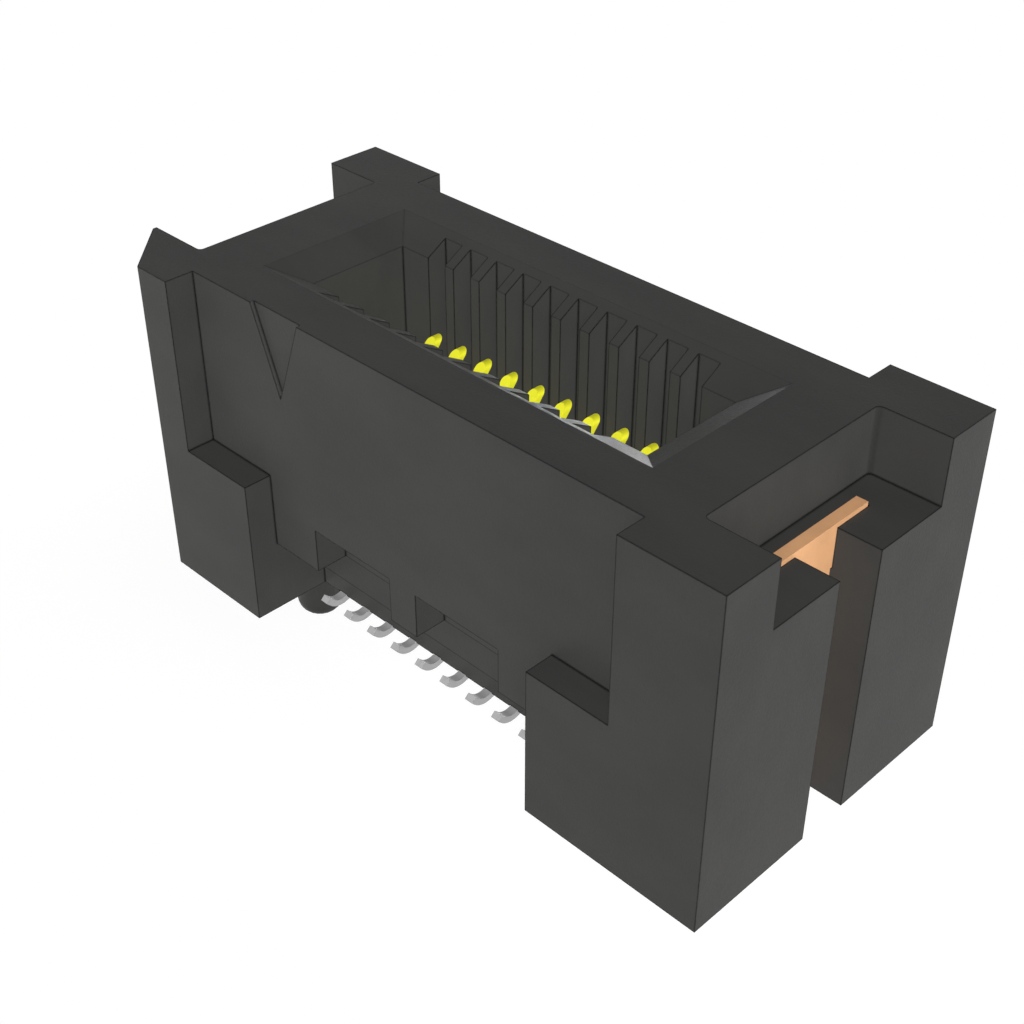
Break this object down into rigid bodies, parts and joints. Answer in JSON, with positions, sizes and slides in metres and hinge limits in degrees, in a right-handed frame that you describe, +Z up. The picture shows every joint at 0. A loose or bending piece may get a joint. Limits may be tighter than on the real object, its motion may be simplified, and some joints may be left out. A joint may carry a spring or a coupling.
{
  "type": "card edge socket",
  "caption": "Vertical surface-mount card edge socket: black moulded housing with corner posts, two rows of sprung contacts in a chamfered slot, pegs and weld tabs.",
  "frame": {"origin": "centre of the housing's flat underside, midway between the two contact rows", "axes": "+X along the card slot, from the pin 1 end to the far end; -Y towards the side wall with the pin 1 mark; +Z up out of the board, against the card's insertion"},
  "size_m": [0.0172, 0.0078, 0.0093],
  "materials": {
    "housing": "fine matte black glass-filled moulding",
    "contacts": "spring bronze strip, gold flash on the tip, matte tin on the solder tail",
    "weld_tabs": "bare copper alloy sheet"
  },
  "bodies": {
    "root": {"housing": "housing", "contact_front_01": "contacts", "contact_front_02": "contacts", "contact_front_03": "contacts", "contact_front_04": "contacts", "contact_front_05": "contacts", "contact_front_06": "contacts", "contact_front_07": "contacts", "contact_front_08": "contacts", "contact_front_09": "contacts", "contact_front_10": "contacts", "contact_rear_01": "contacts", "contact_rear_02": "contacts", "contact_rear_03": "contacts", "contact_rear_04": "contacts", "contact_rear_05": "contacts", "contact_rear_06": "contacts", "contact_rear_07": "contacts", "contact_rear_08": "contacts", "contact_rear_09": "contacts", "contact_rear_10": "contacts", "weld_tab_left": "weld_tabs", "weld_tab_right": "weld_tabs"}
  },
  "joints": []
}
